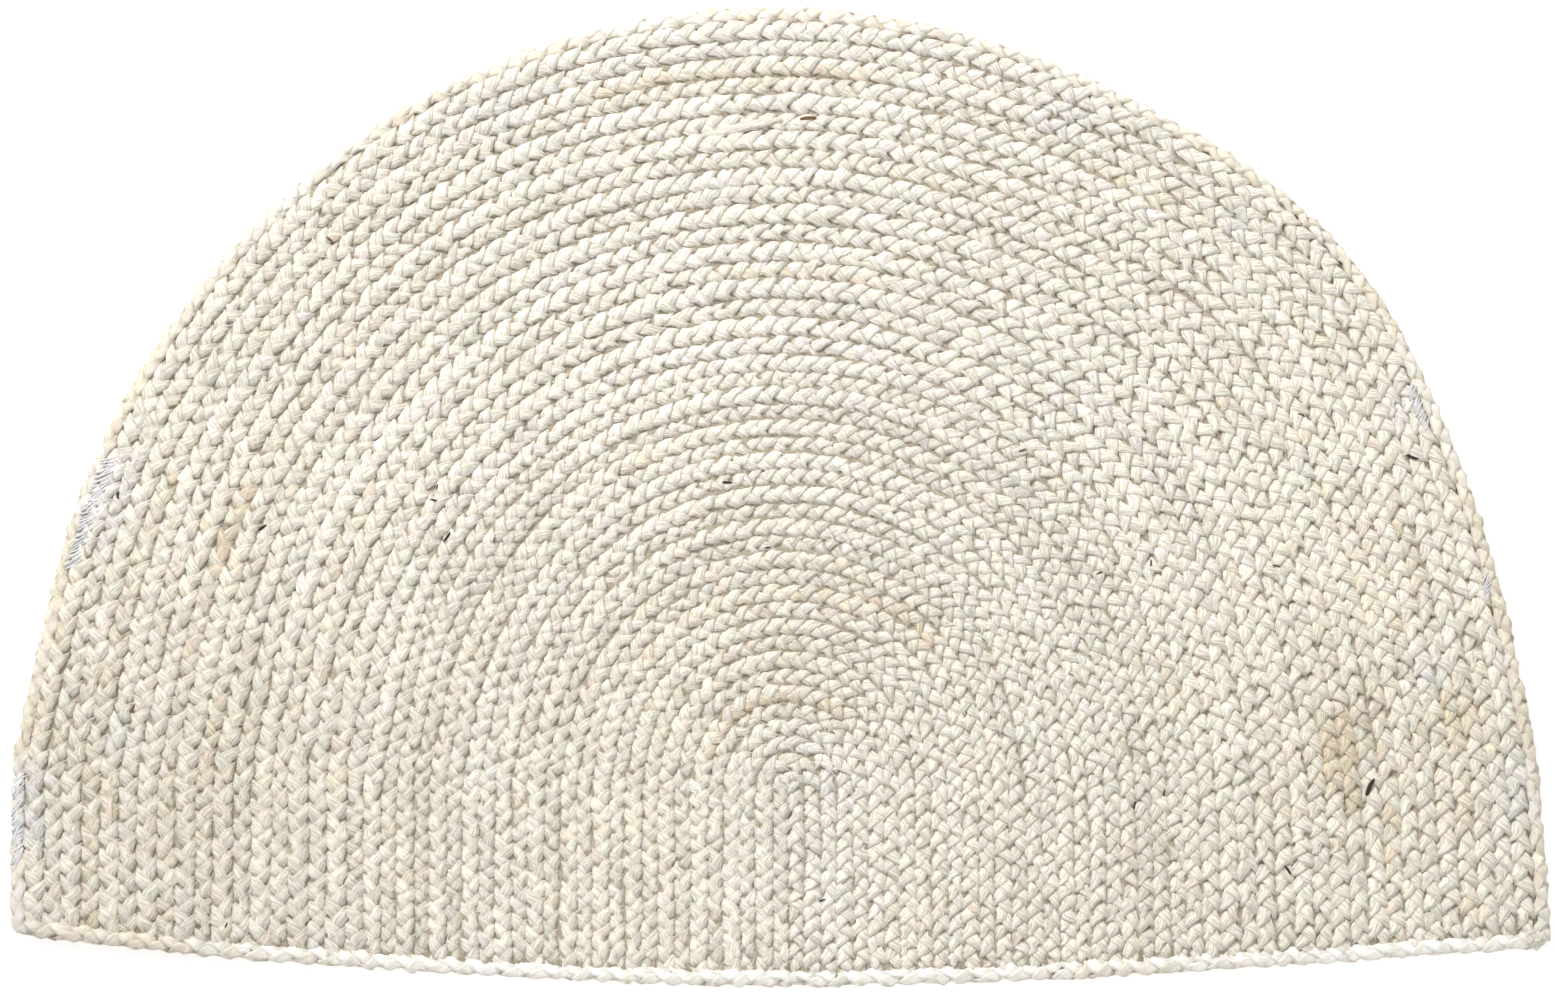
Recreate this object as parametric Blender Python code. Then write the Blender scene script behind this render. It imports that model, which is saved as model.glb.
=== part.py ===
"""Half-round floor rug of braided jute: a braid wound in U-shaped rows and sewn side to side, with a border braid.

Metres, +Z up. The rug lies flat on z = 0, its arc towards +Y and its cut edge towards -Y. Shapes are worked out from
the tip of the spine, where the innermost row folds back, and both objects are then moved so that the middle of the
outline's box is the origin.
"""

import math
from collections import namedtuple

import bmesh
import bpy

# Plan, from the spine's tip
Reach = namedtuple("Reach", "bearing radius")
ARC = (
    Reach(bearing=0, radius=0.4400),
    Reach(bearing=10, radius=0.4370),
    Reach(bearing=20, radius=0.4410),
    Reach(bearing=30, radius=0.4510),
    Reach(bearing=40, radius=0.4650),
    Reach(bearing=50, radius=0.4710),
    Reach(bearing=60, radius=0.4695),
    Reach(bearing=70, radius=0.4710),
    Reach(bearing=80, radius=0.4750),
    Reach(bearing=90, radius=0.4775),
    Reach(bearing=100, radius=0.4785),
    Reach(bearing=110, radius=0.4775),
    Reach(bearing=120, radius=0.4755),
    Reach(bearing=130, radius=0.4700),
    Reach(bearing=140, radius=0.4635),
    Reach(bearing=150, radius=0.4595),
    Reach(bearing=160, radius=0.4540),
    Reach(bearing=170, radius=0.4520),
    Reach(bearing=180, radius=0.4570),
)
Place = namedtuple("Place", "x y")
CUT_BOW = Place(x=0.0130, y=-0.1160)

# Where the cut edge meets the sides; bow is the power by which the edge curves away from its lowest point
Corner = namedtuple("Corner", "x y bow")
LEFT_CORNER = Corner(x=-0.4550, y=-0.0890, bow=2.0)
RIGHT_CORNER = Corner(x=0.4430, y=-0.0965, bow=1.6)

# Rows of the field, from the spine out; share is the part of the way to the border that the rows take
Braid = namedtuple("Braid", "rows share crest valley")
BRAIDS = (
    Braid(rows=26, share=0.555, crest=0.0080, valley=0.0054),
    Braid(rows=18, share=0.445, crest=0.0090, valley=0.0060),
)
ROW_ALTERNATION = 0.0004
SPINE_VALLEY = 0.0056

# Border
BORDER_WIDTH = 0.0090
BORDER_HEIGHT = 0.0084
BORDER_CROSSING = 0.0114
CROSSING_RELIEF = 0.0008
BORDER_END_GAP = 0.0006
SEWN_GAP = 0.0003

# Places round the border's section, as shares of its width in from the outline or of its height up
OUTER_FOOT_IN = 0.10
OUTER_BULGE_UP = 0.45
OUTER_CREST_IN = 0.28
INNER_CREST_IN = 0.70

# How finely curves are cut
BEARING_STEP = 6
SIDE_STEPS = 8
CORNER_STEPS = 8
CUT_STEPS = 90
CORNER_RADIUS = BORDER_WIDTH + SEWN_GAP
FIELD_CORNER_EASE = 0.0015

SHARP_ANGLE = math.radians(60)
JUTE_COLOUR = (0.73, 0.68, 0.57, 1.0)
BORDER_COLOUR = (0.87, 0.85, 0.79, 1.0)
JUTE_ROUGHNESS = 0.85


def clear_scene():
    for thing in list(bpy.data.objects):
        bpy.data.objects.remove(thing, do_unlink=True)


def outline_radius(bearing):
    """Distance from the spine's tip to the outline, on a smooth curve through the rows of ARC."""
    step = ARC[1].bearing - ARC[0].bearing
    last = len(ARC) - 1
    row = min(int(bearing / step), last - 1)
    t = bearing / step - row
    before, here, there, after = (ARC[min(max(row + k, 0), last)].radius for k in (-1, 0, 1, 2))
    slope_here = (there - before) / 2
    slope_there = (after - here) / 2
    rise = there - here
    bend = slope_here + slope_there - 2 * rise
    return here + t * (slope_here + t * (rise - slope_here - bend + t * bend))


def on_arc(bearing, radius):
    angle = math.radians(bearing)
    return Place(radius * math.cos(angle), radius * math.sin(angle))


def cut_edge_y(x):
    """The rug's outer cut edge, which bows out between the corners."""
    corner = LEFT_CORNER if x < CUT_BOW.x else RIGHT_CORNER
    share = (x - CUT_BOW.x) / (corner.x - CUT_BOW.x)
    return CUT_BOW.y + (corner.y - CUT_BOW.y) * share**corner.bow


def between(a, b, t):
    return Place(a.x + (b.x - a.x) * t, a.y + (b.y - a.y) * t)


def rounded_corner(corner, towards_start, towards_end):
    """Points round a corner, from the side it is entered by to the side it is left by."""
    tip = Place(corner.x, corner.y)
    start = between(tip, towards_start, CORNER_RADIUS / math.dist(tip, towards_start))
    end = between(tip, towards_end, CORNER_RADIUS / math.dist(tip, towards_end))
    middle = Place(start.x + end.x - tip.x, start.y + end.y - tip.y)
    points = []
    for step in range(CORNER_STEPS + 1):
        angle = math.pi / 2 * step / CORNER_STEPS
        from_start = between(middle, start, math.cos(angle))
        from_end = between(middle, end, math.sin(angle))
        points.append(Place(from_start.x + from_end.x - middle.x, from_start.y + from_end.y - middle.y))
    return points


def outline_points():
    """The rug's outline from the middle of the right corner, up, over the arc and back along the cut edge."""
    right_waist = on_arc(0, outline_radius(0))
    left_waist = on_arc(180, outline_radius(180))
    cut = []
    for step in range(CUT_STEPS + 1):
        x = LEFT_CORNER.x + (RIGHT_CORNER.x - LEFT_CORNER.x) * step / CUT_STEPS
        cut.append(Place(x, cut_edge_y(x)))
    right = rounded_corner(RIGHT_CORNER, cut[-2], right_waist)
    left = rounded_corner(LEFT_CORNER, left_waist, cut[1])
    half = CORNER_STEPS // 2
    points = right[half:]
    points += [between(points[-1], right_waist, t / SIDE_STEPS) for t in range(1, SIDE_STEPS)]
    points += [on_arc(b, outline_radius(b)) for b in range(0, 181, BEARING_STEP // 2)]
    points += [between(left_waist, left[0], t / SIDE_STEPS) for t in range(1, SIDE_STEPS)]
    points += left
    points += [p for p in cut if left[-1].x < p.x < right[0].x]
    points += right[: half + 1]
    return points


def evenly_spaced(points, spacing):
    """The same line with points about spacing apart, and a whole number of steps."""
    reached = [0.0]
    for a, b in zip(points, points[1:]):
        reached.append(reached[-1] + math.dist(a, b))
    usable = reached[-1] - BORDER_END_GAP
    count = round(usable / spacing)
    result = []
    i = 0
    for step in range(count + 1):
        goal = BORDER_END_GAP / 2 + usable * step / count
        while reached[i + 1] < goal:
            i += 1
        result.append(between(points[i], points[i + 1], (goal - reached[i]) / (reached[i + 1] - reached[i])))
    return result


def seam_heights():
    """(share, height) of each line along the rows, from the spine out: a valley, then a crest and a valley a row."""
    lines = [(0.0, SPINE_VALLEY)]
    inner = 0.0
    for braid in BRAIDS:
        width = braid.share / braid.rows
        for row in range(braid.rows):
            lift = ROW_ALTERNATION if row % 2 else -ROW_ALTERNATION
            lines.append((inner + width * (row + 0.5), braid.crest + lift))
            lines.append((inner + width * (row + 1), braid.valley - lift))
        inner += braid.share
    return lines


def field_station(share, station, last):
    """Plan place of one line along the rows at a station: the U's ends are at 0 and last, its arc in between."""
    inset = BORDER_WIDTH + SEWN_GAP
    if 0 < station < last:
        bearing = 180 - (station - 1) * BEARING_STEP
        return on_arc(bearing, share * (outline_radius(bearing) - inset))
    corner = LEFT_CORNER if station == 0 else RIGHT_CORNER
    ease = FIELD_CORNER_EASE if math.isclose(share, 1.0) else 0.0
    x = share * (corner.x - math.copysign(inset + ease, corner.x))
    return Place(x, cut_edge_y(x) + inset + ease)


def new_object(name, mesh_maker, colour):
    """An object round a closed bmesh, shaded smooth over its ribs and sharp at its rims."""
    bm = bmesh.new()
    mesh_maker(bm)
    bmesh.ops.recalc_face_normals(bm, faces=bm.faces[:])
    mesh = bpy.data.meshes.new(name)
    bm.to_mesh(mesh)
    bm.free()
    mesh.shade_smooth()
    mesh.set_sharp_from_angle(angle=SHARP_ANGLE)
    material = bpy.data.materials.new(name + "_material")
    material.use_nodes = True
    shader = material.node_tree.nodes["Principled BSDF"]
    shader.inputs["Base Color"].default_value = colour
    shader.inputs["Roughness"].default_value = JUTE_ROUGHNESS
    shader.inputs["Metallic"].default_value = 0.0
    mesh.materials.append(material)
    thing = bpy.data.objects.new(name, mesh)
    bpy.context.scene.collection.objects.link(thing)
    return thing


def make_field(bm):
    """Ribbed top over the U-shaped rows, then its rim carried down to the floor and closed."""
    last = 180 // BEARING_STEP + 2
    rows = []
    for share, height in seam_heights():
        places = [field_station(share, s, last) for s in range(last + 1)]
        if share == 0.0:
            foot, tip = (bm.verts.new((*p, height)) for p in places[:2])
            rows.append([foot] + [tip] * (last - 1) + [foot])
        else:
            rows.append([bm.verts.new((*p, height)) for p in places])
    for near, far in zip(rows, rows[1:]):
        for s in range(last):
            corners = list(dict.fromkeys((near[s], near[s + 1], far[s + 1], far[s])))
            bm.faces.new(corners)
    rim = [edge for edge in bm.edges if edge.is_boundary]
    lowered = bmesh.ops.extrude_edge_only(bm, edges=rim)["geom"]
    for vert in lowered:
        if isinstance(vert, bmesh.types.BMVert):
            vert.co.z = 0.0
    floor_rim = [edge for edge in lowered if isinstance(edge, bmesh.types.BMEdge) and edge.is_boundary]
    bmesh.ops.edgeloop_fill(bm, edges=floor_rim)


def border_section(outer_high):
    """(inset from the outline, height) round the border braid, with one of its two crests raised."""
    raised = BORDER_HEIGHT
    sunk = BORDER_HEIGHT - CROSSING_RELIEF
    return (
        (OUTER_FOOT_IN * BORDER_WIDTH, 0.0),
        (0.0, OUTER_BULGE_UP * BORDER_HEIGHT),
        (OUTER_CREST_IN * BORDER_WIDTH, raised if outer_high else sunk),
        (INNER_CREST_IN * BORDER_WIDTH, sunk if outer_high else raised),
        (BORDER_WIDTH, 0.0),
    )


def make_border(bm):
    """A strip round the outline whose two crests rise by turns, as the crossings of a braid do."""
    points = evenly_spaced(outline_points(), BORDER_CROSSING / 2)
    rings = []
    for i, point in enumerate(points):
        before = points[max(i - 1, 0)]
        after = points[min(i + 1, len(points) - 1)]
        length = math.dist(before, after)
        inward = Place(-(after.y - before.y) / length, (after.x - before.x) / length)
        section = border_section(outer_high=i % 2 == 0)
        rings.append([bm.verts.new((point.x + inward.x * u, point.y + inward.y * u, z)) for u, z in section])
    sides = len(rings[0])
    for ring, following in zip(rings, rings[1:]):
        for k in range(sides):
            n = (k + 1) % sides
            bm.faces.new((ring[k], ring[n], following[n], following[k]))
    bm.faces.new(rings[0])
    bm.faces.new(rings[-1])


def main():
    clear_scene()
    field = new_object("rug_field", make_field, JUTE_COLOUR)
    border = new_object("border_braid", make_border, BORDER_COLOUR)
    xs, ys = zip(*outline_points())
    for thing in (field, border):
        thing.location = (-(min(xs) + max(xs)) / 2, -(min(ys) + max(ys)) / 2, 0.0)


main()
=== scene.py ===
"""Looks of a half-round floor rug of braided jute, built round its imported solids.

Every strand of the braid is a swept mesh: three strands a row, 44 U-shaped rows, and a whiter border braid.
Metres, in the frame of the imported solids. Plan shapes are worked out from the spine's tip and then moved, so
that the middle of the solids' outline is the origin. Rows and border run clockwise seen from above.
"""

import math
from collections import namedtuple

import bpy
import numpy as np
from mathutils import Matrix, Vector
from mathutils.bvhtree import BVHTree


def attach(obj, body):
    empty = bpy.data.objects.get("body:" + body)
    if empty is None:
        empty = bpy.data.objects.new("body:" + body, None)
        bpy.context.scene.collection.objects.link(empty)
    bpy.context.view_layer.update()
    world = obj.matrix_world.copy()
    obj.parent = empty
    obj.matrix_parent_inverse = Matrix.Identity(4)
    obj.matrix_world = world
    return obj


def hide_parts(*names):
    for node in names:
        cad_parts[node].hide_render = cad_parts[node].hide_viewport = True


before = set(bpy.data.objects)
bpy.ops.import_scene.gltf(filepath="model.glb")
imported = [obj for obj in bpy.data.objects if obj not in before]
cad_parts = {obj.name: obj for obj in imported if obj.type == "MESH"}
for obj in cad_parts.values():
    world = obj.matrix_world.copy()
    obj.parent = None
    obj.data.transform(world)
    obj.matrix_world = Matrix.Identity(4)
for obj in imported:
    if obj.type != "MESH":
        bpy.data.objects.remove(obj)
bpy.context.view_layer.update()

SEED = 7
rng = np.random.default_rng(SEED)

# Plan, from the tip of the spine: the solids' own, drawn up to 3 mm nearer to the photo's outline in places.
# Bearings run round the tip, in degrees, from 0 at the right over 90 at the top to 180 at the left
Reach = namedtuple("Reach", "bearing radius")
ARC = [Reach(*row) for row in (
    (0, 0.4400), (10, 0.4360), (20, 0.4390), (30, 0.4485), (40, 0.4625), (50, 0.4690),
    (60, 0.4685), (70, 0.4710), (80, 0.4750), (90, 0.4775), (100, 0.4785), (110, 0.4775),
    (120, 0.4755), (130, 0.4700), (140, 0.4648), (150, 0.4605), (160, 0.4545), (170, 0.4508),
    (180, 0.4560),
)]
# Where lines are read along the arc, one place a degree, clockwise
ARC_BEARINGS = np.arange(180.0, -0.5, -1.0)
Place = namedtuple("Place", "x y")
CUT_BOW = Place(x=0.0130, y=-0.1168)
# The middle of the box round the solids' outline
MIDDLE = np.array(Place(x=-0.00714, y=0.18080))
Corner = namedtuple("Corner", "x y bow")
LEFT_CORNER = Corner(x=-0.4535, y=-0.0868, bow=1.8)
RIGHT_CORNER = Corner(x=0.4430, y=-0.0942, bow=1.5)
BORDER_WIDTH = 0.0090
SEWN_GAP = 0.0003
INSET = BORDER_WIDTH + SEWN_GAP
CORNER_RADIUS = INSET
CORNER_STEPS = 12
CUT_POINTS = 220
SIDE_STEP = 0.004
# How far the rows' ends run in under the border, and how far down they dip to do so, over what reach
FOOT_TUCK = 0.0045
FOOT_DIP = 0.0024
FOOT_REACH = 0.011

# Braids: share is the part of the way from spine to border that the rows take, swing how far a strand's
# centre goes to each side and rise how far up and down, middle the braid's height above the floor, and pinch
# and thin a strand's width and thickness where it folds at a seam, against its full ones
Braid = namedtuple("Braid", "rows share period swing rise width thick middle pinch thin")
INNER_BRAID = Braid(
    rows=26, share=0.555, period=0.0312, swing=0.0047, rise=0.0016, width=0.0075, thick=0.0041, middle=0.0051,
    pinch=0.26, thin=0.46,
)
OUTER_BRAID = INNER_BRAID._replace(
    rows=18, share=0.445, period=0.0340, swing=0.0055, width=0.0086, thick=0.0043, middle=0.0055,
)
BORDER_BRAID = Braid(
    rows=1, share=0.0, period=0.0410, swing=0.0031, rise=0.0016, width=0.0072, thick=0.0040, middle=0.0044,
    pinch=0.62, thin=0.75,
)
BORDER_ROLL = math.radians(16)
STRANDS = 3
FIELD_SIDES = 8
BORDER_SIDES = 10
# Rings along a strand in each half turn, as shares of it: closer together where the strand lies on top
RINGS = np.array([0.0, 0.15, 0.30, 0.44, 0.56, 0.66, 0.83])
UP = np.array([0.0, 0.0, 1.0])
FLOOR_CLEAR = 0.0002


def outline_radius(bearing):
    """Distance from the spine's tip to the outline, on a smooth curve through the rows of ARC."""
    radius = np.array([reach.radius for reach in ARC])
    step = ARC[1].bearing - ARC[0].bearing
    last = len(ARC) - 1
    row = np.minimum((bearing / step).astype(int), last - 1)
    t = bearing / step - row
    before, here, there, after = (radius[np.clip(row + k, 0, last)] for k in (-1, 0, 1, 2))
    slope_here = (there - before) / 2
    slope_there = (after - here) / 2
    rise = there - here
    bend = slope_here + slope_there - 2 * rise
    return here + t * (slope_here + t * (rise - slope_here - bend + t * bend))


def on_arc(bearing, radius):
    angle = np.radians(bearing)
    return np.stack([radius * np.cos(angle), radius * np.sin(angle)], -1)


def cut_edge_y(x):
    """The rug's outer cut edge, which bows out between the corners."""
    x = np.asarray(x, float)
    left = x < CUT_BOW.x
    corner_x = np.where(left, LEFT_CORNER.x, RIGHT_CORNER.x)
    corner_y = np.where(left, LEFT_CORNER.y, RIGHT_CORNER.y)
    bow = np.where(left, LEFT_CORNER.bow, RIGHT_CORNER.bow)
    return CUT_BOW.y + (corner_y - CUT_BOW.y) * ((x - CUT_BOW.x) / (corner_x - CUT_BOW.x)) ** bow


def straight(a, b):
    """Points from a to b, without b."""
    count = max(int(np.linalg.norm(np.subtract(b, a)) / SIDE_STEP), 1)
    t = np.arange(count)[:, None] / count
    return np.asarray(a) + (np.asarray(b) - np.asarray(a)) * t


def rounded_corner(corner, towards_start, towards_end):
    """Points round a corner, from the side it is entered by to the side it is left by."""
    tip = np.array([corner.x, corner.y])
    start = tip + CORNER_RADIUS * (towards_start - tip) / np.linalg.norm(towards_start - tip)
    end = tip + CORNER_RADIUS * (towards_end - tip) / np.linalg.norm(towards_end - tip)
    middle = start + end - tip
    angle = np.linspace(0, math.pi / 2, CORNER_STEPS + 1)[:, None]
    return middle + (start - middle) * np.cos(angle) + (end - middle) * np.sin(angle)


def outline():
    """The outline clockwise, from the middle of the right corner along the cut edge, up and over the arc."""
    right_waist = on_arc(0.0, outline_radius(np.array(0.0)))
    left_waist = on_arc(180.0, outline_radius(np.array(180.0)))
    xs = np.linspace(RIGHT_CORNER.x, LEFT_CORNER.x, CUT_POINTS)
    cut = np.stack([xs, cut_edge_y(xs)], -1)
    right = rounded_corner(RIGHT_CORNER, right_waist, cut[1])
    left = rounded_corner(LEFT_CORNER, cut[-2], left_waist)
    arc = on_arc(ARC_BEARINGS, outline_radius(ARC_BEARINGS))
    along_cut = cut[(cut[:, 0] < right[-1, 0]) & (cut[:, 0] > left[0, 0])]
    half = CORNER_STEPS // 2
    return np.vstack([
        right[half:], along_cut, left, straight(left[-1], left_waist)[1:], arc,
        straight(right_waist, right[0])[1:], right[: half + 1],
    ])


def row_line(share):
    """One row's middle line in plan: up the left leg from the cut edge, over its arc, down the right leg."""
    arc = on_arc(ARC_BEARINGS, share * (outline_radius(ARC_BEARINGS) - INSET))
    left_x = share * (LEFT_CORNER.x + INSET)
    right_x = share * (RIGHT_CORNER.x - INSET)
    left_foot = np.array([left_x, cut_edge_y(left_x) + INSET - FOOT_TUCK])
    right_foot = np.array([right_x, cut_edge_y(right_x) + INSET - FOOT_TUCK])
    return np.vstack([straight(left_foot, arc[0]), arc, straight(right_foot, arc[-1])[::-1]])


class Line:
    """A plan line that can be read at any distance along it."""

    def __init__(self, points):
        steps = np.linalg.norm(np.diff(points, axis=0), axis=1)
        self.points = points
        self.reached = np.concatenate([[0.0], np.cumsum(steps)])
        self.length = self.reached[-1]
        ahead = np.gradient(points, self.reached, axis=0)
        self.ahead = ahead / np.linalg.norm(ahead, axis=1)[:, None]

    def at(self, s):
        """(place, direction ahead, direction outward) at distances s."""
        place = np.stack([np.interp(s, self.reached, self.points[:, k]) for k in (0, 1)], -1)
        ahead = np.stack([np.interp(s, self.reached, self.ahead[:, k]) for k in (0, 1)], -1)
        ahead /= np.linalg.norm(ahead, axis=-1, keepdims=True)
        return place, ahead, np.stack([-ahead[..., 1], ahead[..., 0]], -1)


LINE_END = 0.0005
LINE_STEP = 0.002


def line_inside(depth):
    """The outline moved in by a depth, as a line."""
    rim = Line(outline())
    place, ahead, outward = rim.at(np.arange(LINE_END, rim.length - LINE_END, LINE_STEP))
    return Line(place - outward * depth)


def bearing_along(line):
    """Bearings round the spine's tip of a line's points; down the left leg they go on past 180."""
    bearing = np.degrees(np.arctan2(line.points[:, 1], line.points[:, 0]))
    return np.where(bearing < -90, bearing + 360, bearing)


# A smooth random change along a line: the distance between its turns, and its spread
Wander = namedtuple("Wander", "step spread")


def wander(length, kind):
    """A smooth random function of distance along a line."""
    knots = np.arange(-kind.step, length + 2 * kind.step, kind.step)
    values = rng.normal(0.0, kind.spread, len(knots))

    def read(s):
        place = (np.asarray(s) + kind.step) / kind.step
        i = np.clip(place.astype(int), 0, len(knots) - 2)
        t = np.clip(place - i, 0, 1)
        t = t * t * (3 - 2 * t)
        return values[i] * (1 - t) + values[i + 1] * t

    return read


# The jute's streaks: how many go round a strand, how long they are, how they twist round it, and how far on
# in their noise a tube may start
STREAK_ROUND = 4.2
STREAK_LENGTH = 0.0065
STREAK_TWIST = 2 * math.pi / 0.11
STREAK_STARTS = 100
# Tubes with so few sides keep flat faces
FLAT_SIDES = 4


class Tubes:
    """Closed swept tubes with one count of sides, joined into one mesh with what the jute material reads."""

    def __init__(self, sides):
        self.sides = sides
        self.corner = (np.arange(sides) * 2 * math.pi / sides)[None, :]
        self.places, self.quads, self.caps, self.fibres, self.tints = [], [], [], [], []
        self.count = 0

    def add(self, rings, s, light, warm, unshaded_share):
        """Add one tube; light, warm and unshaded_share are numbers or have one value a ring or one a corner."""
        length = len(rings)
        index = self.count + np.arange(length * self.sides).reshape(length, self.sides)
        near, far = index[:-1], index[1:]
        quads = [near, np.roll(near, -1, 1), np.roll(far, -1, 1), far]
        self.quads.append(np.stack(quads, -1).reshape(-1, 4))
        self.caps += [index[0, ::-1], index[-1]]
        self.places.append(rings.reshape(-1, 3))
        spun = self.corner + STREAK_TWIST * s[:, None]
        across, up = STREAK_ROUND * np.cos(spun), STREAK_ROUND * np.sin(spun)
        along = s[:, None] / STREAK_LENGTH + rng.uniform(0, STREAK_STARTS)
        self.fibres.append(self.per_corner(length, across, up, along))
        self.tints.append(self.per_corner(length, light, warm, unshaded_share))
        self.count += length * self.sides

    def per_corner(self, length, *parts):
        parts = [np.asarray(part, float) for part in parts]
        parts = [part[:, None] if part.ndim == 1 else part for part in parts]
        return np.stack([np.broadcast_to(part, (length, self.sides)) for part in parts], -1).reshape(-1, 3)

    def piece(self, name, material):
        return new_piece(
            name, np.vstack(self.places), np.concatenate(self.quads), self.caps, material,
            np.vstack(self.fibres), np.vstack(self.tints), self.sides, smooth=self.sides > FLAT_SIDES,
        )


def new_piece(name, places, quads, caps, material, fibre, tint, around, smooth=True):
    """A mesh object that rides on the rug; around is the count of quads side by side."""
    mesh = bpy.data.meshes.new(name)
    corners = np.concatenate([quads.ravel(), *caps]).astype(np.int32)
    sizes = np.array([4] * len(quads) + [len(cap) for cap in caps])
    starts = np.concatenate([[0], np.cumsum(sizes)[:-1]])
    mesh.vertices.add(len(places))
    mesh.vertices.foreach_set("co", places.astype(np.float32).ravel())
    mesh.loops.add(len(corners))
    mesh.loops.foreach_set("vertex_index", corners)
    mesh.polygons.add(len(sizes))
    mesh.polygons.foreach_set("loop_start", starts.astype(np.int32))
    mesh.update(calc_edges=True)
    if smooth:
        mesh.shade_smooth()
    else:
        mesh.shade_flat()
    for key, values in (("fibre", fibre), ("tint", tint)):
        attribute = mesh.attributes.new(key, "FLOAT_VECTOR", "POINT")
        attribute.data.foreach_set("vector", values.astype(np.float32).ravel())
    bake_map = mesh.uv_layers.new(name="OFBake")
    bake_map.uv.foreach_set("vector", face_cells(len(quads), caps, around).astype(np.float32).ravel())
    mesh.materials.append(material)
    thing = bpy.data.objects.new(name, mesh)
    bpy.context.scene.collection.objects.link(thing)
    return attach(thing, "root")


def face_cells(quad_count, caps, around):
    """A map for baking: each face has its own cell, and faces that touch along a strand lie together."""
    count = quad_count + len(caps)
    ring, side = np.divmod(np.arange(count), around)
    deep = math.ceil(math.sqrt(count / around * (around + 1)))
    block, row = np.divmod(ring, deep)
    column = block * (around + 1) + side
    cell = np.stack([column, row], -1).astype(float)
    square = np.array([(0, 0), (1, 0), (1, 1), (0, 1)])
    parts = [(cell[:quad_count, None] + square).reshape(-1, 2)]
    for cap, low in zip(caps, cell[quad_count:]):
        angle = np.arange(len(cap)) * 2 * math.pi / len(cap)
        parts.append(low + 0.5 + 0.5 * np.stack([np.cos(angle), np.sin(angle)], -1))
    return np.concatenate(parts) / (column.max() + 1, deep)


# How strands and their leaves, the stretches that show between two crossings, vary
Spread = namedtuple("Spread", "width height shift slant timing light warm")
LEAF = Spread(width=0.13, height=0.0004, shift=0.0005, slant=0.0007, timing=0.20, light=0.38, warm=0.26)
# The most that a leaf differs, in spreads
LEAF_FARTHEST = 2
LEAF_TIMING = Wander(step=0.010, spread=LEAF.timing)
STRAND_LIGHT = Wander(step=0.07, spread=0.20)
STRAND_WARM = Wander(step=0.12, spread=0.20)
CROSSINGS = Wander(step=0.04, spread=0.09)
PERIOD_SPREAD = 0.02
# The step at which a braid's turning is added up, and how near to its ends, as an angle, the last rings lie
TURNING_STEP = 0.002
LAST_RING = 0.1
# The rug is lit from its far left, so the leaves on the inner side of a row look warmer and duller. The two
# tones run into one another where the swing, from -1 to 1, is this near to 0
INNER_WARM = 0.15
INNER_DULL = 0.15
SIDES_BLEND = 0.2
# How much of a tan stretch's tone the leaves on the outer side of its row take
TAN_OUTER = 0.25
# How squarely a strand's section bulges: 1 is an ellipse, less is fuller
FULL = 0.50
# How much lower a braid's edges lie than its middle
DROOP = 0.0012
# How much later than the end of its swing to the side a strand folds under, as an angle of its wave
FOLD_LATE = 0.50
# How far the swing from side to side is drawn from a wave towards a zigzag
STRAIGHTEN = 0.10
# How much thicker a leaf is at its crown
CROWN = 0.08
CROWN_AT = math.pi / 6
# How full a leaf stays in width and in thickness towards its tip: 1 lessens evenly, less keeps it full longer
TIP_FULL = 0.75
TIP_THICK = 0.7
# How far from the braid's middle height, against its half height, strands are out of the gaps' painted shade
GAP_SHADE_HEIGHT = 0.36

# What changes along one braid, each a function of the distance along it, and its roll outwards, an angle
Course = namedtuple("Course", "line size lift shift warm light fade tan roll")


def smooth_step(low, high, value):
    t = np.clip((value - low) / (high - low), 0, 1)
    return t * t * (3 - 2 * t)


def flattened(value):
    """-1 to 1, with more of its way spent near the ends."""
    return value * (1.5 - 0.5 * value**2)


def fuller(value):
    return np.sign(value) * np.abs(value) ** FULL


def leaf_angle(angle):
    """A strand's angle, warped so that it goes out on top slower than back below, and how fast it changes."""
    turns, half = np.divmod(angle, math.pi)
    tip = math.pi / 2 + FOLD_LATE
    out, back = math.pi / 2 / tip, math.pi / 2 / (math.pi - tip)
    on_top = half < tip
    warped = turns * math.pi + np.where(on_top, half * out, math.pi / 2 + (half - tip) * back)
    return warped, np.where(on_top, out, back)


def braid_strands(tubes, course, braid):
    """The three strands of one braid along a plan line."""
    length = course.line.length
    period = braid.period * (1 + rng.normal(0, PERIOD_SPREAD))
    stretch = wander(length, CROSSINGS)
    s_grid = np.linspace(0, length, int(length / TURNING_STEP))
    turning = 2 * math.pi / period * (1 + stretch(s_grid))
    angle_grid = np.concatenate([[0.0], np.cumsum((turning[1:] + turning[:-1]) / 2 * np.diff(s_grid))])
    begin = rng.uniform(0, 2 * math.pi)
    for strand in range(STRANDS):
        own = begin + strand * 2 * math.pi / STRANDS
        first, last = angle_grid[0] + own, angle_grid[-1] + own
        halves = np.arange(math.floor(first / math.pi) - 1, math.ceil(last / math.pi) + 1)
        angle = (halves[:, None] + RINGS[None, :]).ravel() * math.pi
        angle = angle[(angle > first + LAST_RING) & (angle < last - LAST_RING)]
        angle = np.concatenate([[first], angle, [last]])
        add_strand(tubes, course, braid, np.interp(angle - own, angle_grid, s_grid), angle)


def braid_frame(course, s):
    """(place, ahead, outward, side, top) along a braid, the last two tipped by its roll."""
    flat = np.zeros((len(s), 1))
    place, ahead, outward = (np.concatenate([part, flat], 1) for part in course.line.at(s))
    side = math.cos(course.roll) * outward - math.sin(course.roll) * UP
    top = math.sin(course.roll) * outward + math.cos(course.roll) * UP
    return place, ahead, outward, side, top


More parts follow.
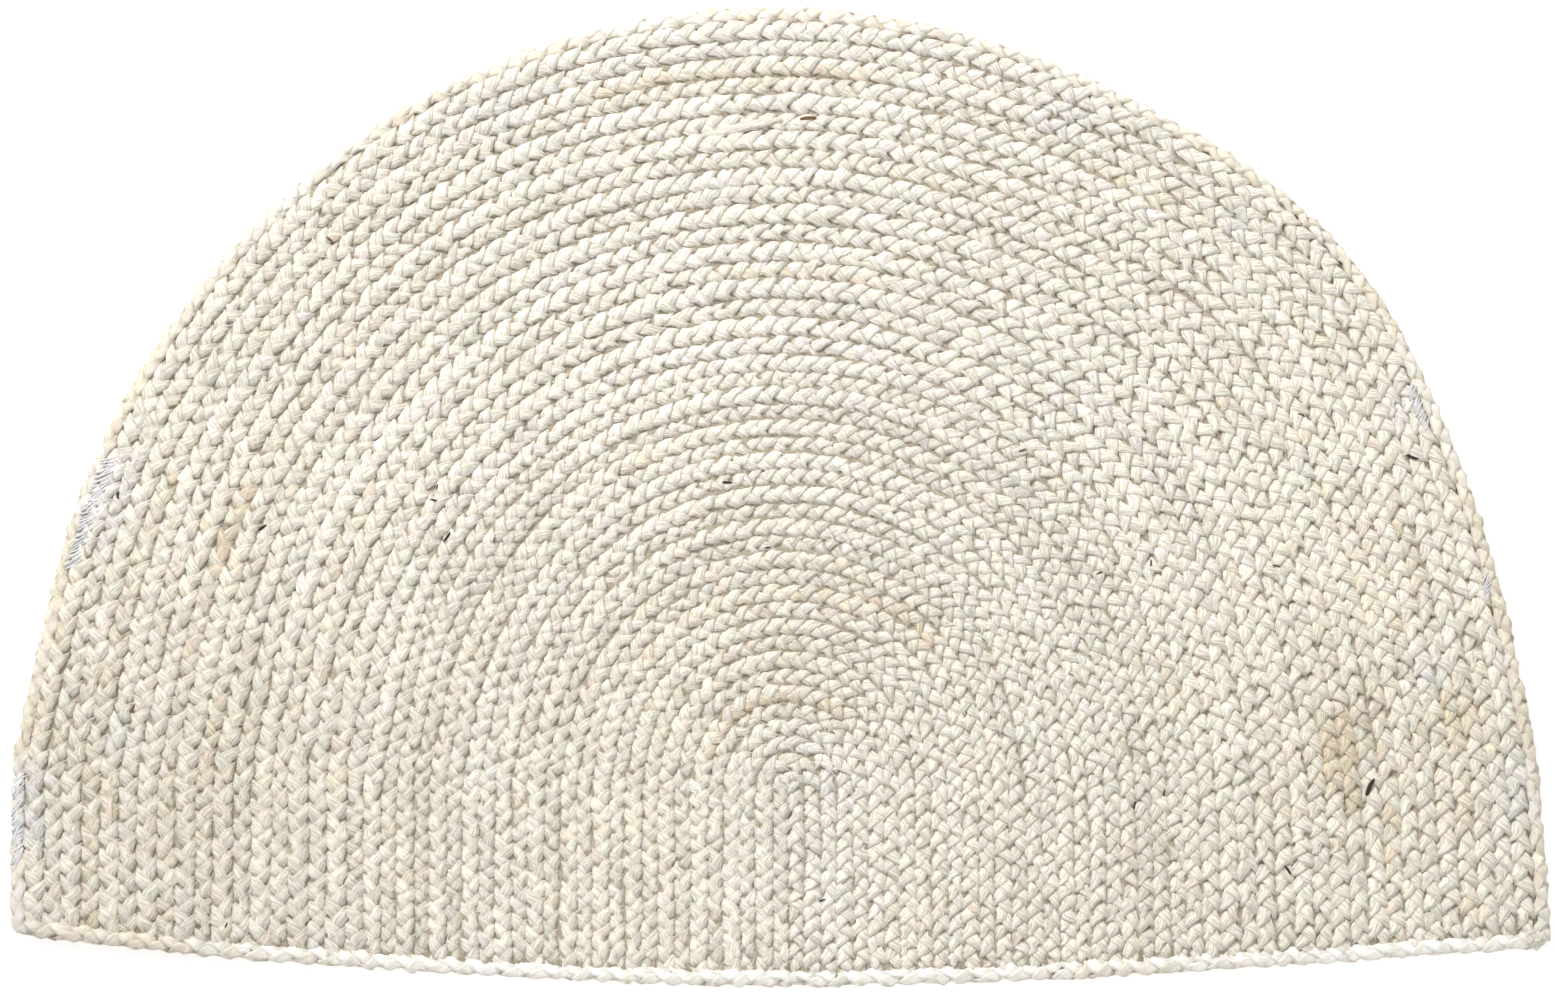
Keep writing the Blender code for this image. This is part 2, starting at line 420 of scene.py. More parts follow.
def leaf_draws(angle):
    """Random numbers for the leaves along a strand, each the same for a whole leaf."""
    quarter = np.floor(angle / (math.pi / 2)).astype(int)
    quarter -= quarter.min()
    draws = rng.normal(0, 1, (len(Spread._fields), quarter.max() + 1)).clip(-LEAF_FARTHEST, LEAF_FARTHEST)
    return Spread(*draws[:, quarter])


def add_strand(tubes, course, braid, s, angle):
    """One strand, a flat band that swings from side to side of the braid and folds under at its edges.

    Its rings lie square to it where it crosses the braid's middle and along the braid where it folds, so each
    leaf ends in a sharp tip at the seam.
    """
    place, ahead, outward, side, top = braid_frame(course, s)
    size = 1 + course.size(s)
    on_leaf = np.sin(2 * angle) ** 2
    leaf = leaf_draws(angle)
    swung, speed = leaf_angle(angle)
    late = leaf_angle(angle + wander(course.line.length, LEAF_TIMING)(s))[0]
    across = braid.swing * size * (np.sin(late) - STRAIGHTEN * np.sin(3 * late)) / (1 + STRAIGHTEN)
    across += leaf.shift * LEAF.shift * on_leaf
    across += leaf.slant * LEAF.slant * np.sin(4 * angle)
    height = braid.rise * flattened(np.sin(2 * late)) + leaf.height * LEAF.height * on_leaf
    height -= DROOP * np.sin(late) ** 2
    centre = place + outward * course.shift(s)[:, None] + UP * (braid.middle + course.lift(s))[:, None]
    centre = centre + side * across[:, None] + top * height[:, None]
    turn = math.pi / 2 * (1 - np.cos(swung))
    round_edge = np.cos(turn)[:, None] * side - np.sin(turn)[:, None] * top
    proud = np.sin(turn)[:, None] * side + np.cos(turn)[:, None] * top
    open_flat = np.abs(np.cos(swung))
    steepness = speed * np.abs(np.cos(swung) - 3 * STRAIGHTEN * np.cos(3 * swung)) / (1 + STRAIGHTEN)
    slope = np.arctan(2 * math.pi * braid.swing / braid.period * steepness)
    half_width = braid.width / 2 * size * (1 + LEAF.width * leaf.width * on_leaf)
    half_width *= braid.pinch + (1 - braid.pinch) * open_flat**TIP_FULL
    wide = (half_width * np.cos(slope))[:, None] * round_edge - (half_width * np.sin(slope))[:, None] * ahead
    half_thick = braid.thick / 2 * (1 + CROWN * np.cos(2 * (angle - CROWN_AT)))
    half_thick *= braid.thin + (1 - braid.thin) * open_flat**TIP_THICK
    rings = centre[:, None] + fuller(np.cos(tubes.corner))[..., None] * wide[:, None]
    rings = rings + fuller(np.sin(tubes.corner))[..., None] * (half_thick[:, None] * proud)[:, None]
    rings[..., 2] = np.maximum(rings[..., 2], FLOOR_CLEAR)
    rings[..., :2] -= MIDDLE
    # Low on a strand, near the braid's middle height, it is painted darker: painted shade in the gaps
    from_middle = np.abs(rings[..., 2] - braid.middle) / (braid.rise + braid.thick / 2)
    light, warm = strand_tones(course, s, angle, leaf)
    tubes.add(rings, s, light, warm, smooth_step(0.0, GAP_SHADE_HEIGHT, from_middle))


def strand_tones(course, s, angle, leaf):
    """(light, warm) along a strand."""
    length = course.line.length
    # Leaves on a row's inner side are painted warmer and duller, painted shade; a negative fade paints them
    # lighter instead
    on_inner = smooth_step(SIDES_BLEND, -SIDES_BLEND, np.sin(angle))
    inner = on_inner * course.fade(s)
    light = wander(length, STRAND_LIGHT)(s) + course.light(s) + LEAF.light * leaf.light - INNER_DULL * inner
    warm = wander(length, STRAND_WARM)(s) + course.warm(s) + LEAF.warm * leaf.warm + INNER_WARM * inner
    warm += (TAN_OUTER + (1 - TAN_OUTER) * on_inner) * course.tan(s)
    return light, warm


def srgb(red, green, blue):
    """An sRGB colour from 0 to 255 as the linear colour that shaders take."""
    parts = [c / 255 for c in (red, green, blue)]
    return (*[c / 12.92 if c <= 0.04045 else ((c + 0.055) / 1.055) ** 2.4 for c in parts], 1.0)


class Net:
    """A material's nodes, and short ways to add more and link them."""

    def __init__(self, name):
        self.material = bpy.data.materials.new(name)
        self.material.use_nodes = True
        self.nodes = self.material.node_tree.nodes
        self.links = self.material.node_tree.links
        self.shader = self.nodes["Principled BSDF"]

    def attribute(self, name):
        node = self.nodes.new("ShaderNodeAttribute")
        node.attribute_name = name
        return node.outputs["Vector"]

    def noise(self, scale, detail, roughness=0.5, vector=None):
        node = self.nodes.new("ShaderNodeTexNoise")
        for name, number in (("Scale", scale), ("Detail", detail), ("Roughness", roughness)):
            node.inputs[name].default_value = number
        if vector:
            self.links.new(vector, node.inputs["Vector"])
        return node.outputs["Fac"]

    def ranged(self, value, ramp):
        node = self.nodes.new("ShaderNodeMapRange")
        node.interpolation_type = "SMOOTHSTEP"
        self.links.new(value, node.inputs["Value"])
        for name, number in zip(("From Min", "From Max", "To Min", "To Max"), ramp):
            node.inputs[name].default_value = number
        return node.outputs["Result"]

    def mix(self, factor, a, b, blend="MIX"):
        node = self.nodes.new("ShaderNodeMix")
        node.data_type = "RGBA"
        node.blend_type = blend
        for name, value in (("Factor", factor), ("A", a), ("B", b)):
            socket = next(i for i in node.inputs if i.name == name and i.enabled)
            if isinstance(value, bpy.types.NodeSocket):
                self.links.new(value, socket)
            else:
                socket.default_value = value
        return next(o for o in node.outputs if o.enabled)

    def multiplied(self, a, b):
        return self.mix(1.0, a, b, "MULTIPLY")


# Jute's colours, sRGB from 0 to 255: the usual one, those that warm and cool strands turn to, and deep,
# painted shade which multiplies them in the gaps. bump is the depth of the fibres' relief, streak_dark the
# darkest streaks' tone
STRAND_BUMP = 0.0009
THREAD_BUMP = 0.00003
STREAK_DARK = 0.70
STREAK_PALE = 0.92
Jute = namedtuple("Jute", "light warm cool deep bump streak_dark", defaults=(STRAND_BUMP, STREAK_DARK))
JUTES = {
    "jute": Jute((252, 247, 235), (247, 233, 209), (251, 247, 244), (152, 144, 126)),
    "bleached_jute": Jute((250, 247, 240), (245, 236, 218), (255, 255, 254), (202, 194, 176),
                          streak_dark=STREAK_PALE),
    # The inner layer's jute is darker: painted shade for the gaps where it shows
    "inner_jute_painted_shade": Jute((222, 216, 204), (216, 207, 190), (220, 216, 208), (220, 214, 204)),
    "white_fibre": Jute((250, 246, 236), (240, 230, 210), (252, 252, 250), (235, 232, 224),
                        bump=THREAD_BUMP, streak_dark=STREAK_PALE),
    "grey_thread": Jute((222, 222, 227), (220, 217, 216), (208, 210, 220), (190, 188, 194),
                        bump=THREAD_BUMP, streak_dark=STREAK_PALE),
    "bark": Jute((72, 66, 58), (92, 74, 52), (58, 58, 58), (60, 55, 50)),
    "stalk": Jute((150, 116, 74), (160, 120, 70), (130, 108, 80), (110, 90, 70)),
}
# The casts that strands drift between
PINK_CAST = srgb(255, 251, 250)
GREEN_CAST = srgb(252, 253, 248)
CAST_SCALE = 0.15
# How far the tints light and warm reach before they have their full effect
TINT_SPAN = 1.6
Ramp = namedtuple("Ramp", "low high to_low to_high")
TO_WARM = Ramp(0.0, TINT_SPAN, 0.0, 1.0)
TO_COOL = Ramp(0.0, -TINT_SPAN, 0.0, 1.0)
TO_LIGHT = Ramp(-TINT_SPAN, TINT_SPAN, 0.84, 1.07)
NOISE_TO_CAST = Ramp(0.35, 0.65, 0.0, 1.0)
NOISE_TO_STREAK = Ramp(0.37, 0.59, STREAK_DARK, 1.08)
NOISE_TO_ROUGHNESS = Ramp(0.3, 0.7, 0.72, 0.92)
FINE_SCALE = 2.3
BUMP_STRENGTH = 0.80
GLOSS = 0.25


def jute_material(name):
    """Matte jute: streaks along the strand, slow changes of tone, and painted shade darker between the
    strands.
    """
    look = JUTES[name]
    net = Net(name)
    fibre = net.attribute("fibre")
    tint = net.nodes.new("ShaderNodeSeparateXYZ")
    net.links.new(net.attribute("tint"), tint.inputs[0])
    light, warm, unshaded_share = tint.outputs
    streaks = net.noise(scale=1.0, detail=3.0, roughness=0.65, vector=fibre)
    toned = net.mix(net.ranged(warm, TO_WARM), srgb(*look.light), srgb(*look.warm))
    toned = net.mix(net.ranged(warm, TO_COOL), toned, srgb(*look.cool))
    cast = net.ranged(net.noise(scale=CAST_SCALE, detail=0.0, vector=fibre), NOISE_TO_CAST)
    toned = net.multiplied(toned, net.mix(cast, PINK_CAST, GREEN_CAST))
    toned = net.multiplied(toned, net.ranged(light, TO_LIGHT))
    toned = net.multiplied(toned, net.ranged(streaks, NOISE_TO_STREAK._replace(to_low=look.streak_dark)))
    # Painted shade: deep multiplies the colour where the strand lies low in a gap
    toned = net.mix(unshaded_share, net.multiplied(toned, srgb(*look.deep)), toned)
    net.links.new(toned, net.shader.inputs["Base Color"])
    bump = net.nodes.new("ShaderNodeBump")
    bump.inputs["Strength"].default_value = BUMP_STRENGTH
    bump.inputs["Distance"].default_value = look.bump
    net.links.new(net.noise(scale=FINE_SCALE, detail=2.0, vector=fibre), bump.inputs["Height"])
    net.links.new(bump.outputs["Normal"], net.shader.inputs["Normal"])
    net.links.new(net.ranged(streaks, NOISE_TO_ROUGHNESS), net.shader.inputs["Roughness"])
    net.shader.inputs["Specular IOR Level"].default_value = GLOSS
    return net.material


def row_shares():
    """(braid, share of the way to the border) of each row, from the spine out."""
    rows = []
    inner = 0.0
    for braid in (INNER_BRAID, OUTER_BRAID):
        width = braid.share / braid.rows
        rows += [(braid, inner + width * (row + 0.5)) for row in range(braid.rows)]
        inner += braid.share
    return rows


ROWS = row_shares()
ROW_LINES = [Line(row_line(share)) for braid, share in ROWS]

# Stretches of a row with a tone of their own. Rows count from the spine out, and first and last are bearings
Stretch = namedtuple("Stretch", "row first last warm light")
STRETCHES = [Stretch(*row) for row in (
    (41, 108, 81, 1.2, -0.1),
    (5, 165, 48, 1.1, -0.4),
    (12, 72, 43, 1.2, -0.5),
    (34, 8, -4, 1.5, -0.8),
    (33, 6, -1, 1.0, -0.5),
    (25, 21, 9, 1.1, -0.4),
    (40, 27, 18, 1.0, -0.4),
    (39, 184, 177, 0.9, -0.3),
    (36, 160, 150, 1.0, -0.3),
    (21, 118, 100, 0.9, 0.0),
    (30, 100, 78, 0.8, 0.1),
)]
STRETCH_END = 2.0
# Areas with a tone of their own, in the frame of the solids, that also carry painted light and shade: the wide
# ones are painted lighter over the top and darker towards the lower corners, and the small cool ones are the
# sewing thread's lavender together with painted bluish shade between its stitches
Area = namedtuple("Area", "x y reach warm light")
TONE_AND_LIGHT_AREAS = [Area(*row) for row in (
    (0.03, -0.17, 0.060, -0.4, 0.0),
    (-0.35, -0.20, 0.130, 0.2, -1.0),
    (0.00, 0.16, 0.230, -0.5, 0.5),
    (0.36, -0.15, 0.080, 0.3, -0.4),
    (0.329, -0.154, 0.018, 0.8, -0.5),
    (0.408, -0.140, 0.022, 0.7, -0.3),
    (0.36, 0.00, 0.160, 0.1, 0.5),
    (-0.05, 0.03, 0.090, -0.1, 0.9),
    (0.25, -0.22, 0.090, 0.2, -0.3),
    (0.00, -0.03, 0.120, 0.2, -0.6),
    (0.00, -0.25, 0.120, -0.2, 0.4),
    (0.434, -0.174, 0.010, -1.2, -0.4),
    (0.434, -0.192, 0.010, -1.2, -0.4),
    (0.315, 0.010, 0.008, -1.8, -0.2),
    (-0.437, -0.180, 0.012, -2.2, -0.9),
    (-0.437, -0.205, 0.012, -2.2, -0.9),
    (-0.438, -0.262, 0.007, -1.0, -3.0),
    (0.385, -0.112, 0.012, -1.5, -0.3),
    (0.372, 0.046, 0.012, -1.5, -0.3),
    (0.275, 0.160, 0.012, -1.5, -0.3),
    (0.174, 0.226, 0.014, -1.5, -0.3),
    (-0.165, 0.228, 0.012, -1.5, -0.3),
    (-0.385, -0.150, 0.012, -1.5, -0.3),
    (-0.400, -0.022, 0.014, -1.8, 0.2),
    (-0.392, 0.004, 0.014, -1.8, 0.2),
)]


def tones_along(line, row=None):
    """(warm, light, tan) as functions of the distance along a line, from TONE_AND_LIGHT_AREAS and a row's STRETCHES."""
    bearing = bearing_along(line)
    tones = np.zeros((3, len(bearing)))
    warm, light, tan = tones
    for stretch in STRETCHES:
        if stretch.row == row:
            inside = smooth_step(stretch.last, stretch.last + STRETCH_END, bearing)
            inside *= smooth_step(stretch.first, stretch.first - STRETCH_END, bearing)
            tan += stretch.warm * inside
            light += stretch.light * inside
    # The areas paint tone, and painted light and shade, along the line
    for area in TONE_AND_LIGHT_AREAS:
        away = np.linalg.norm(line.points - MIDDLE - (area.x, area.y), axis=1)
        inside = np.exp(-((away / area.reach) ** 2))
        warm += area.warm * inside
        light += area.light * inside
    return [lambda s, tone=tone: np.interp(s, line.reached, tone) for tone in tones]


# Every second row stands a little prouder and is wider, and is painted lighter while the rows between are
# painted darker, as painted light and shade. Down the right side, from the second bearing of RIGHT_FADE to the
# first, this falls to a share of it
PAIR_LIFT = 0.0004
PAIR_SHIFT = 0.0001
PAIR_SIZE_TOP = 0.05
PAIR_SIZE_LEGS = 0.02
PAIR_PAINTED_LIGHT = 0.20
RIGHT_FADE = (35, 75)
RIGHT_SHARE = 0.3
# Over the top, which begins and ends between these bearings, rows are narrower, so that seams show
SEAM_TOP = 0.030
TOP_RIGHT = (40, 70)
TOP_LEFT = (150, 115)
# A row's crossings are closer near the spine and longer near the border
ROW_PERIOD_NEAR = 0.94
ROW_PERIOD_FAR = 1.05
ROW_SIZE = Wander(step=0.06, spread=0.03)
ROW_LIFT = Wander(step=0.05, spread=0.00025)
ROW_SHIFT = Wander(step=0.07, spread=0.00028)
ROW_LIGHT_SPREAD = 0.20
ROW_WARM_SPREAD = 0.15

RowPiece = namedtuple("RowPiece", "name first after")
ROW_PIECES = (
    RowPiece("braid_rows_inner", 0, 17),
    RowPiece("braid_rows_middle", 17, 26),
    RowPiece("braid_rows_outer", 26, 32),
    RowPiece("braid_rows_rim_side", 32, 38),
    RowPiece("braid_rows_rim", 38, 44),
)


def side_fade(line):
    """1 on the left and over the top, less down the right side, where alternate rows look alike."""
    fade = RIGHT_SHARE + (1 - RIGHT_SHARE) * smooth_step(*RIGHT_FADE, bearing_along(line))
    return lambda s: np.interp(s, line.reached, fade)


def own_width(line, raised):
    """How much wider than its braid a row is, as a function of the distance along it."""
    bearing = bearing_along(line)
    over_top = smooth_step(*TOP_RIGHT, bearing) * smooth_step(*TOP_LEFT, bearing)
    by_turns = PAIR_SIZE_LEGS + (PAIR_SIZE_TOP - PAIR_SIZE_LEGS) * over_top
    share = raised * by_turns - SEAM_TOP * over_top
    return lambda s: np.interp(s, line.reached, share)


def field_row(tubes, row):
    braid, share = ROWS[row]
    line = ROW_LINES[row]
    fade = side_fade(line)
    patch_warm, patch_light, tan = tones_along(line, row)
    raised = 1 if row % 2 else -1
    own_size = wander(line.length, ROW_SIZE)
    wide = own_width(line, raised)
    own_lift = wander(line.length, ROW_LIFT)
    own_shift = wander(line.length, ROW_SHIFT)
    own_light = rng.normal(0, ROW_LIGHT_SPREAD)
    own_warm = rng.normal(0, ROW_WARM_SPREAD)
    period = braid.period * (ROW_PERIOD_NEAR + (ROW_PERIOD_FAR - ROW_PERIOD_NEAR) * share)

    def near_foot(s):
        return smooth_step(FOOT_REACH, 0.0, np.minimum(s, line.length - s))

    braid_strands(tubes, Course(
        line,
        size=lambda s: wide(s) + own_size(s),
        lift=lambda s: raised * PAIR_LIFT * fade(s) + own_lift(s) - FOOT_DIP * near_foot(s),
        shift=lambda s: raised * -PAIR_SHIFT * fade(s) + own_shift(s),
        warm=lambda s: own_warm + patch_warm(s),
        # Raised rows are painted lighter and the rows between darker: painted light and shade
        light=lambda s: own_light + PAIR_PAINTED_LIGHT * raised * fade(s) + patch_light(s),
        fade=fade,
        tan=tan,
        roll=0.0,
    ), braid._replace(period=period))


def make_field(material):
    pieces = []
    for name, first, after in ROW_PIECES:
        tubes = Tubes(FIELD_SIDES)
        for row in range(first, after):
            field_row(tubes, row)
        pieces.append(tubes.piece(name, material))
        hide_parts("rug_field")
    return pieces


# The border is painted whitest along the middle of the cut edge, its bleached colour together with a painted
# highlight, and much like the rows round the arc
Tone = namedtuple("Tone", "warm light")
ON_ARC = Tone(warm=1.0, light=-0.3)
ON_CUT = Tone(warm=0.1, light=1.0)
# Along the cut edge its inner leaves are painted lighter and cooler, a painted highlight, by this many times
# what a row's are painted duller
BORDER_CUT_HIGHLIGHT = 6.0
BORDER_SHIFT = -0.0006
BORDER_WARM = Wander(step=0.05, spread=0.30)
BORDER_LIGHT = Wander(step=0.05, spread=0.20)
BORDER_STRAY = Wander(step=0.05, spread=0.0003)
BORDER_SIZE = Wander(step=0.07, spread=0.05)
BORDER_LIFT = Wander(step=0.06, spread=0.0002)
# How far from each corner it starts to whiten and is wholly white
LEFT_WHITENS = (0.05, 0.20)
RIGHT_WHITENS = (0.0, 0.05)


def cut_share(line):
    """0 along the arc, and along the cut edge rising from 0 at the corners to 1, slowly at the left one."""
    x = line.points[:, 0]
    on_cut = line.points[:, 1] < LEFT_CORNER.y + INSET
    white = smooth_step(*LEFT_WHITENS, x - LEFT_CORNER.x) * smooth_step(*RIGHT_WHITENS, RIGHT_CORNER.x - x)
    return np.where(on_cut, white, 0.0)


def make_border(material):
    tubes = Tubes(BORDER_SIDES)
    line = line_inside(BORDER_WIDTH / 2)
    cut = cut_share(line)
    patch_warm, patch_light, tan = tones_along(line)
    own_warm = wander(line.length, BORDER_WARM)
    own_light = wander(line.length, BORDER_LIGHT)
    own_shift = wander(line.length, BORDER_STRAY)

    def toned(s, arc, middle):
        return arc + (middle - arc) * np.interp(s, line.reached, cut)

    braid_strands(tubes, Course(
        line,
        size=wander(line.length, BORDER_SIZE),
        lift=wander(line.length, BORDER_LIFT),
        shift=lambda s: BORDER_SHIFT + own_shift(s),
        warm=lambda s: toned(s, ON_ARC.warm, ON_CUT.warm) + own_warm(s) + patch_warm(s),
        light=lambda s: toned(s, ON_ARC.light, ON_CUT.light) + own_light(s) + patch_light(s),
        # A negative fade paints the inner leaves on the cut edge lighter and cooler: a painted highlight
        fade=lambda s: -BORDER_CUT_HIGHLIGHT * np.interp(s, line.reached, cut),
        tan=tan,
        roll=BORDER_ROLL,
    ), BORDER_BRAID)
    piece = tubes.piece("border_braid_strands", material)
    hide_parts("border_braid")
    return piece


GROUND_TOP = 0.0056
GROUND_BOTTOM = 0.0006
GROUND_RIB = 0.0008
GROUND_COLUMNS = 71
SPINE_SHARE = 0.0002


def make_ground(material):
    """The rug's thin inner layer under the visible strands, ribbed with the rows, closed all round, and
    coloured dark as painted shade where it shows between them.
    """
    shares = [0.0]
    for braid, share in ROWS:
        half = braid.share / braid.rows / 2
        shares += [share, share + half]
    lines = []
    fibres = []
    for k, share in enumerate(shares):
        line = Line(row_line(max(share, SPINE_SHARE)))
        s = np.linspace(0, line.length, GROUND_COLUMNS)
        height = GROUND_TOP + (0.0 if k % 2 else GROUND_RIB)
        lines.append(np.column_stack([line.at(s)[0], np.full(len(s), height)]))
        fibres.append(np.column_stack([np.full(len(s), k * STREAK_ROUND), 0 * s, s / STREAK_LENGTH]))
    top = np.array(lines)
    bottom = top.copy()
    bottom[..., 2] = GROUND_BOTTOM
    rows, columns = top.shape[:2]
    index = np.arange(rows * columns).reshape(rows, columns)
    upper = np.stack([index[:-1, :-1], index[:-1, 1:], index[1:, 1:], index[1:, :-1]], -1).reshape(-1, 4)
    low = index + index.size
    lower = np.stack([low[:-1, :-1], low[1:, :-1], low[1:, 1:], low[:-1, 1:]], -1).reshape(-1, 4)
    loop = np.concatenate([index[0, :], index[1:, -1], index[-1, -2::-1], index[-2:0:-1, 0]])
    beyond = np.roll(loop, -1)
    rim = np.stack([loop, loop + index.size, beyond + index.size, beyond], -1)
    places = np.concatenate([top.reshape(-1, 3), bottom.reshape(-1, 3)])
    fibre = np.tile(np.array(fibres).reshape(-1, 3), (2, 1))
    # A tint of zeros puts the whole layer in its material's painted gap shade
    tint = np.zeros_like(places)
    places[:, :2] -= MIDDLE
    quads = np.concatenate([upper, lower, rim])
    piece = new_piece("rug_ground", places, quads, [], material, fibre, tint, columns - 1)
    return piece


ABOVE_ALL = 0.05


def surface_of(pieces):
    """A function that gives the height of the pieces' upper face at plan places."""
    now = bpy.context.evaluated_depsgraph_get()
    trees = [BVHTree.FromObject(piece, now) for piece in pieces]
    down = Vector((0, 0, -1))

    def height(places):
        heights = []
        for x, y in places:
            hits = [tree.ray_cast(Vector((x, y, ABOVE_ALL)), down)[0] for tree in trees]
            heights.append(max([hit.z for hit in hits if hit], default=GROUND_BOTTOM))
        return np.array(heights)

    return height


def laid_on(surface, path, clear):
    """A plan path at the surface's height, bridging the surface's gaps."""
    heights = np.pad(surface(path), 2, "edge")
    bridged = np.max([heights[k : k + len(path) + 2] for k in range(3)], axis=0)
    smooth = 0.25 * bridged[:-2] + 0.5 * bridged[1:-1] + 0.25 * bridged[2:]
    return np.column_stack([path, smooth + clear])


# The share of a thread over which each of its ends thins
THREAD_END = 0.3


def add_thread(tubes, path, width, thick, light=0.0, warm=0.0, blunt=0.4):
    """A tube along a path of 3-D points, thinning to its ends, where blunt is the share that is left."""
    ahead = np.gradient(path, axis=0)
    ahead /= np.linalg.norm(ahead, axis=1)[:, None]
    across = np.cross(UP, ahead)
    across /= np.linalg.norm(across, axis=1)[:, None]
    over = np.cross(ahead, across)
    steps = np.linalg.norm(np.diff(path, axis=0), axis=1)
    s = np.concatenate([[0.0], np.cumsum(steps)])
    taper = blunt + (1 - blunt) * np.sqrt(np.clip(np.minimum(s, s[-1] - s) / (s[-1] * THREAD_END), 0, 1))
    corner = tubes.corner + math.pi / tubes.sides
    rings = path[:, None] + (np.cos(corner) * width / 2)[..., None] * (taper[:, None] * across)[:, None]
    rings = rings + (np.sin(corner) * thick / 2)[..., None] * (taper[:, None] * over)[:, None]
    rings[..., 2] = np.maximum(rings[..., 2], FLOOR_CLEAR)
    tubes.add(rings, s, light, warm, 1.0)


def wavy_path(start, heading, length, bend, count):
    """A plan path of count points that keeps turning a little; bend is the spread of one turn, in radians."""
    turns = heading + np.cumsum(rng.normal(0, bend, count - 1))
    steps = length / (count - 1) * np.stack([np.cos(turns), np.sin(turns)], -1)
    return np.vstack([start, start + np.cumsum(steps, axis=0)])


def drawn(mean, spread):
    """A random number, or the mean itself where it doesn't vary."""
    return rng.normal(mean, spread) if spread else mean


# Loose fibres: across is how far their heading strays, bend how much they turn at each of their points, and
# light and warm are a mean and a spread each
Hairs = namedtuple("Hairs", "count shortest longest width across bend light warm")
ROW_HAIRS = Hairs(count=2000, shortest=0.004, longest=0.012, width=0.00026, across=0.45, bend=0.16,
                  light=(0.5, 0.6), warm=(-0.3, 0.6))
# How far along a row they start, as shares of it, and how far to its sides
ROW_HAIRS_ALONG = (0.01, 0.98)
ROW_HAIRS_ASIDE = 0.005
CUT_HAIRS = Hairs(count=220, shortest=0.002, longest=0.005, width=0.00032, across=0.7, bend=0.20,
                  light=(0.2, 0.5), warm=(0.0, 0.5))
# How much of the cut edge they are on, and how far in from the border's seam, with its spread
CUT_HAIRS_SHARE = 0.97
CUT_HAIRS_IN = 0.0015
CUT_HAIRS_STRAY = 0.0010
# White threads round the spine's tip, from which they scatter to the right
TIP_HAIRS = Hairs(count=110, shortest=0.004, longest=0.011, width=0.00030, across=0.8, bend=0.15,
                  light=(1.2, 0.0), warm=(-1.2, 0.0))
TIP_AT = Place(x=0.025, y=-0.172)
TIP_SPREAD = 0.030
TIP_HEADING = math.radians(-40)
# Frayed strand ends where the border starts and ends at the right corner
FRAYED = Hairs(count=16, shortest=0.003, longest=0.007, width=0.0005, across=0.8, bend=0.2,
               light=(0.8, 0.5), warm=(-1.0, 0.0))
FRAYED_HEADING = math.radians(160)
FRAYED_AT = Place(x=-0.0085, y=0.0055)
FRAYED_SPREAD = 0.0028
FRAYED_FARTHEST = 0.0035
HAIR_POINTS = 5
HAIR_CLEAR = 0.00005
HAIR_SIDES = 4
# A fibre's thickness against its width, and between what shares of its kind's width its own lies
HAIR_FLAT = 0.5
HAIR_WIDTHS = (0.7, 1.3)


def add_hair(tubes, surface, start, heading, kind):
    light = drawn(*kind.light)
    warm = drawn(*kind.warm)
    length = rng.uniform(kind.shortest, kind.longest)
    path = wavy_path(start, heading + rng.normal(0, kind.across), length, kind.bend, HAIR_POINTS)
    width = kind.width * rng.uniform(*HAIR_WIDTHS)
    add_thread(tubes, laid_on(surface, path, HAIR_CLEAR), width, width * HAIR_FLAT, light, warm)


def frayed_start():
    """A plan place near the right corner, where the border's strands fray."""
    corner = np.array([RIGHT_CORNER.x, RIGHT_CORNER.y]) - MIDDLE + FRAYED_AT
    return corner + rng.normal(0, FRAYED_SPREAD, 2).clip(-FRAYED_FARTHEST, FRAYED_FARTHEST)


def make_hairs(surface, material):
    tubes = Tubes(HAIR_SIDES)
    lengths = np.array([line.length for line in ROW_LINES])
    for row in rng.choice(len(ROWS), ROW_HAIRS.count, p=lengths / lengths.sum()):
        line = ROW_LINES[row]
        place, ahead, outward = line.at(np.array([rng.uniform(*ROW_HAIRS_ALONG) * line.length]))
        start = place[0] - MIDDLE + outward[0] * rng.uniform(-ROW_HAIRS_ASIDE, ROW_HAIRS_ASIDE)
        add_hair(tubes, surface, start, math.atan2(ahead[0, 1], ahead[0, 0]), ROW_HAIRS)
    for _ in range(CUT_HAIRS.count):
        x = rng.uniform(LEFT_CORNER.x, RIGHT_CORNER.x) * CUT_HAIRS_SHARE
        y = cut_edge_y(x) + INSET + CUT_HAIRS_IN + rng.normal(0, CUT_HAIRS_STRAY)
        add_hair(tubes, surface, np.array([x, y]) - MIDDLE, math.pi / 2, CUT_HAIRS)
    for _ in range(TIP_HAIRS.count):
        add_hair(tubes, surface, rng.normal(TIP_AT, TIP_SPREAD), TIP_HEADING, TIP_HAIRS)
    for _ in range(FRAYED.count):
        add_hair(tubes, surface, frayed_start(), FRAYED_HEADING, FRAYED)
    piece = tubes.piece("loose_fibres", material)
    return piece


# The zigzag sewing thread that shows in places where the border meets the rows; lean is along the border
Stitch = namedtuple("Stitch", "pitch lean width thick clear blunt")
STITCH = Stitch(pitch=0.0017, lean=0.0065, width=0.0012, thick=0.0007, clear=-0.0002, blunt=0.8)
# How stitches vary: lean and reach as shares of theirs, along and across in metres
StitchSpread = namedtuple("StitchSpread", "lean along reach across light")
STITCH_SPREAD = StitchSpread(lean=0.3, along=0.0003, reach=0.15, across=0.0006, light=0.8)
STITCH_POINTS = 5
STITCH_SIDES = 6
CUT_EDGE_CLEAR = 0.025
